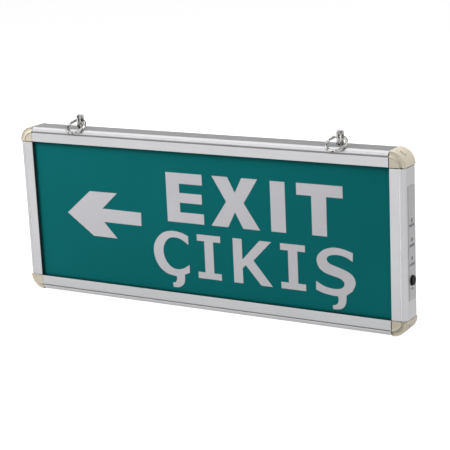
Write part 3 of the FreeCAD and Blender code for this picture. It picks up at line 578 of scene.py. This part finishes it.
def floor_white():
    material, tree, shader = new_material("studio_white")
    link(tree, tones(tree, noise(tree, per_metre=3.0),
                     (0.36, 0.36, 0.36), (0.40, 0.40, 0.40)),
         shader.inputs["Base Color"])
    shader.inputs["Roughness"].default_value = 0.9
    shader.inputs["Specular IOR Level"].default_value = 0.0
    ray = tree.nodes.new("ShaderNodeLightPath")
    place = tree.nodes.new("ShaderNodeTexCoord")
    parts = tree.nodes.new("ShaderNodeSeparateXYZ")
    link(tree, place.outputs["Object"], parts.inputs["Vector"])
    direct = calc(tree, "MAXIMUM", ray.outputs["Is Camera Ray"],
                  ray.outputs["Is Transmission Ray"])
    # reflections of the floor dim towards the back: painted shade
    mirrored = calc(tree, "MULTIPLY", ray.outputs["Is Glossy Ray"],
                    spread(tree, parts.outputs["Y"], FRONT_SHARE, BACK_PAINTED_SHADE_SHARE,
                           FRONT_Y, BACK_Y))
    seen = calc(tree, "MAXIMUM", direct, mirrored)
    glow = tree.nodes.new("ShaderNodeEmission")
    glow.inputs["Color"].default_value = WHITE
    link(tree, calc(tree, "MULTIPLY", seen, FLOOR_GLOW),
         glow.inputs["Strength"])
    both = tree.nodes.new("ShaderNodeAddShader")
    link(tree, shader.outputs["BSDF"], both.inputs[0])
    link(tree, glow.outputs["Emission"], both.inputs[1])
    link(tree, both.outputs[0], tree.nodes["Material Output"].inputs["Surface"])
    return material


def studio_floor():
    mesh = bpy.data.meshes.new("studio_floor")
    bm = bmesh.new()
    turns = [math.tau * side / FLOOR_SIDES for side in range(FLOOR_SIDES)]
    bm.faces.new([bm.verts.new((FLOOR_RADIUS * math.cos(turn),
                                FLOOR_RADIUS * math.sin(turn), 0))
                  for turn in turns])
    bm.to_mesh(mesh)
    bm.free()
    mesh.materials.append(floor_white())
    floor = bpy.data.objects.new("studio_floor", mesh)
    bpy.context.scene.collection.objects.link(floor)


studio_floor()


# ---- light ---------------------------------------------------------------
# A wide soft box overhead, a small one high at the front left, and one each
# behind and to the right.  Those at the left and behind don't show as
# reflections.
SIGN_MIDDLE = (0, 0, 0.07)


def soft_box(name, at, size, watts, towards=SIGN_MIDDLE, mirrored=True):
    data = bpy.data.lights.new(name, "AREA")
    data.shape = "RECTANGLE"
    data.size, data.size_y = size
    data.energy = watts
    lamp = bpy.data.objects.new(name, data)
    bpy.context.scene.collection.objects.link(lamp)
    lamp.visible_glossy = mirrored
    lamp.location = at
    way = Vector(towards) - Vector(at)
    lamp.rotation_euler = way.to_track_quat("-Z", "Y").to_euler()


soft_box("overhead_light", at=(-0.42, -0.34, 0.92), size=(1.8, 1.4),
         watts=11.5, towards=(-0.05, -0.02, 0.07))
soft_box("left_light", at=(-0.52, -0.46, 0.68), size=(0.3, 0.3), watts=3.8,
         mirrored=False)
soft_box("back_light", at=(-0.4, 1.3, 0.7), size=(0.9, 0.9), watts=7,
         mirrored=False)
soft_box("side_light", at=(1.0, 0.35, 0.80), size=(0.9, 0.9), watts=8.5,
         towards=(0.17, 0, 0.07))


# ---- surround ------------------------------------------------------------
# A plain pale room round the sign.  It is white where it is seen directly.
# For reflections and for matt surfaces it is bright low down and dim overhead.
BRIGHT_SLOPE, DIM_SLOPE = -0.05, 0.45   # upward part of the way one looks
REFLECTED = (0.80, 0.22)                # strength added low down, and overhead
GIVEN = (0.24, 0.18)                    # the same for matt surfaces


def surround():
    world = bpy.data.worlds.new("surround")
    world.use_nodes = True
    tree = world.node_tree
    back = tree.nodes["Background"]
    place = tree.nodes.new("ShaderNodeTexCoord")
    parts = tree.nodes.new("ShaderNodeSeparateXYZ")
    link(tree, place.outputs["Generated"], parts.inputs["Vector"])
    low_down = spread(tree, parts.outputs["Z"], 1.0, 0.0,
                      BRIGHT_SLOPE, DIM_SLOPE)
    ray = tree.nodes.new("ShaderNodeLightPath")
    mix = tree.nodes.new("ShaderNodeMix")
    link(tree, ray.outputs["Is Glossy Ray"], mix.inputs["Factor"])
    link(tree, calc(tree, "MULTIPLY_ADD", low_down, *GIVEN), mix.inputs["A"])
    link(tree, calc(tree, "MULTIPLY_ADD", low_down, *REFLECTED),
         mix.inputs["B"])
    direct = calc(tree, "MAXIMUM", ray.outputs["Is Camera Ray"],
                  ray.outputs["Is Transmission Ray"])
    link(tree, calc(tree, "MAXIMUM", mix.outputs["Result"], direct),
         back.inputs["Strength"])
    back.inputs["Color"].default_value = WHITE
    bpy.context.scene.world = world


surround()


# ---- camera --------------------------------------------------------------
# Long lens a little over a metre off, to the right of the sign and above it.
LENS, SENSOR = 114.736, 36.0                # mm
VIEW_FROM = (0.592502, -0.954118, 0.353703)
VIEW_TURN = (75.75913, 2.55534, 30.49683)   # degrees about X, Y and Z
NEAREST = 0.05


def view_camera():
    data = bpy.data.cameras.new("view_camera")
    data.sensor_width = SENSOR
    data.lens = LENS
    data.clip_start = NEAREST
    camera = bpy.data.objects.new("view_camera", data)
    bpy.context.scene.collection.objects.link(camera)
    camera.location = VIEW_FROM
    camera.rotation_euler = [math.radians(turn) for turn in VIEW_TURN]
    bpy.context.scene.camera = camera


view_camera()
bpy.context.scene.view_settings.view_transform = "Standard"
